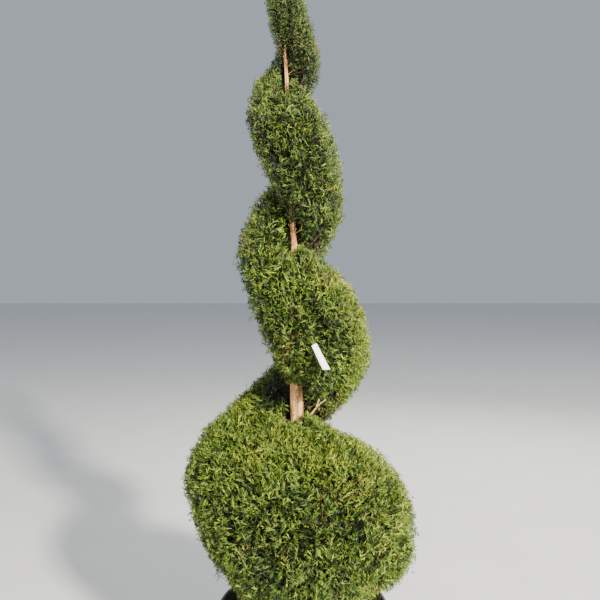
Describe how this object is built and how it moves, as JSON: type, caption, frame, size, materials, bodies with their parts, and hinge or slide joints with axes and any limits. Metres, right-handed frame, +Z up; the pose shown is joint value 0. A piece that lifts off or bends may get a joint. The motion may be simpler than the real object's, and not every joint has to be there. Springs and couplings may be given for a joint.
{
  "type": "spiral topiary in a nursery pot",
  "caption": "Scale-leaved evergreen clipped into a spiral band winding down a slightly leaning bare-barked trunk, standing in a round black nursery pot of soil.",
  "frame": {"origin": "centre of the flat underside of the pot", "axes": "+Z up along the plant, -Y towards the viewer of the picture (front), +X to the right"},
  "size_m": [0.7691, 0.7165, 2.6281],
  "materials": {
    "foliage": "matte",
    "bark": "matte",
    "pot_plastic": "satin",
    "potting_soil": "matte"
  },
  "bodies": {
    "root": {"pot": "pot_plastic", "potting_soil": "potting_soil", "trunk": "bark", "bough_1_front": "bark", "bough_1_right": "bark", "bough_1_left": "bark", "bough_2_front": "bark", "bough_2_right": "bark", "bough_2_left": "bark", "bough_3_front": "bark", "bough_3_right": "bark", "bough_3_left": "bark", "bough_4_front": "bark", "bough_4_right": "bark", "bough_4_left": "bark", "foliage_tip": "foliage", "foliage_1_front": "foliage", "foliage_1_right": "foliage", "foliage_1_left": "foliage", "foliage_2_front": "foliage", "foliage_2_right": "foliage", "foliage_2_left": "foliage", "foliage_3_front": "foliage", "foliage_3_right": "foliage", "foliage_3_left": "foliage", "foliage_4_front": "foliage", "foliage_4_right": "foliage", "foliage_4_left": "foliage"}
  },
  "joints": []
}
